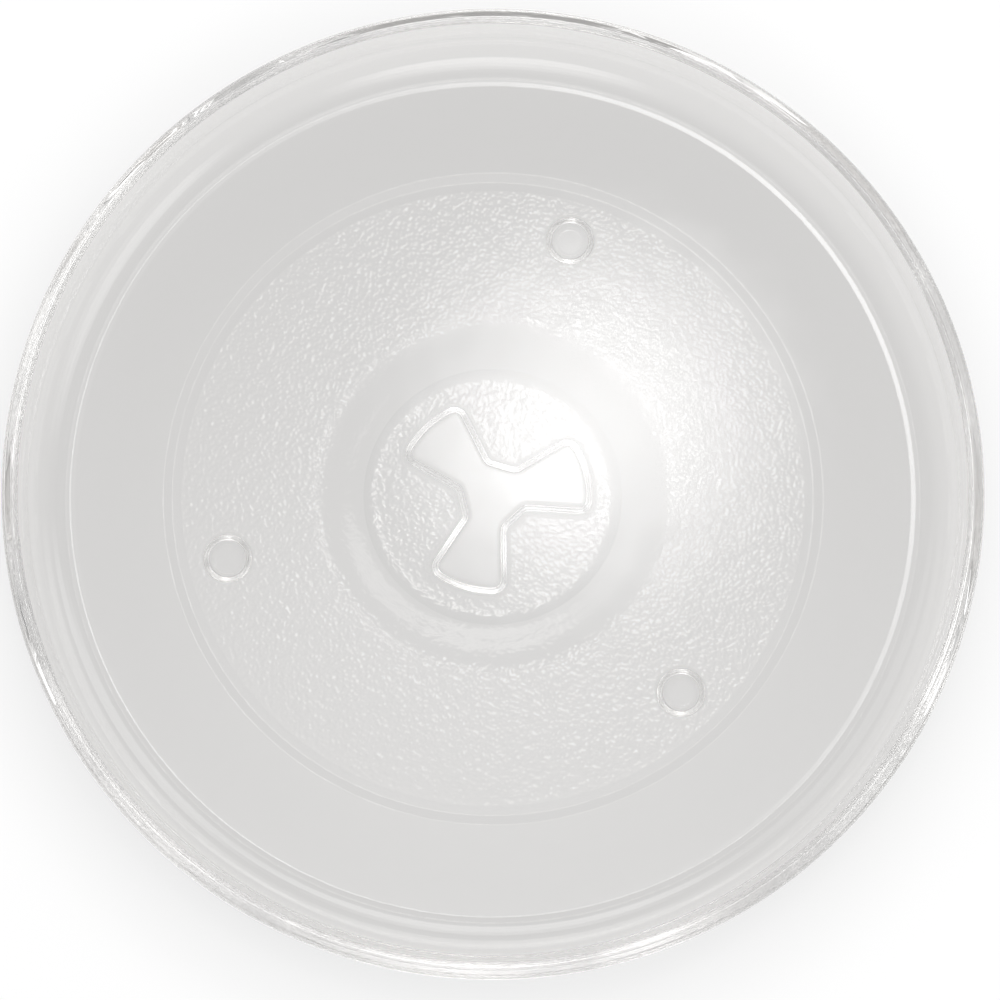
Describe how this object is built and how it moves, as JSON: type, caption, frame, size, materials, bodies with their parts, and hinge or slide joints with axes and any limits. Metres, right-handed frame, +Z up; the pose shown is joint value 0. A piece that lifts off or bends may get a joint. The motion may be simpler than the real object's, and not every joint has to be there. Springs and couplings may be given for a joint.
{
  "type": "microwave turntable plate",
  "caption": "Round clear pressed-glass plate with an upturned rim, small feet, a smooth roller track and a lobed drive socket underneath; turns food in a microwave oven.",
  "frame": {"origin": "centre of the plate, on the surface that its feet stand on", "axes": "+Z up out of the dish, along the axis that the plate turns about; +Y through one foot and the socket lug in line with it"},
  "size_m": [0.255, 0.255, 0.023],
  "materials": {
    "clear_glass": "clear pressed soda-lime glass, fire-polished above, with a pebbled field underneath"
  },
  "bodies": {
    "root": {"glass_plate": "clear_glass"}
  },
  "joints": []
}
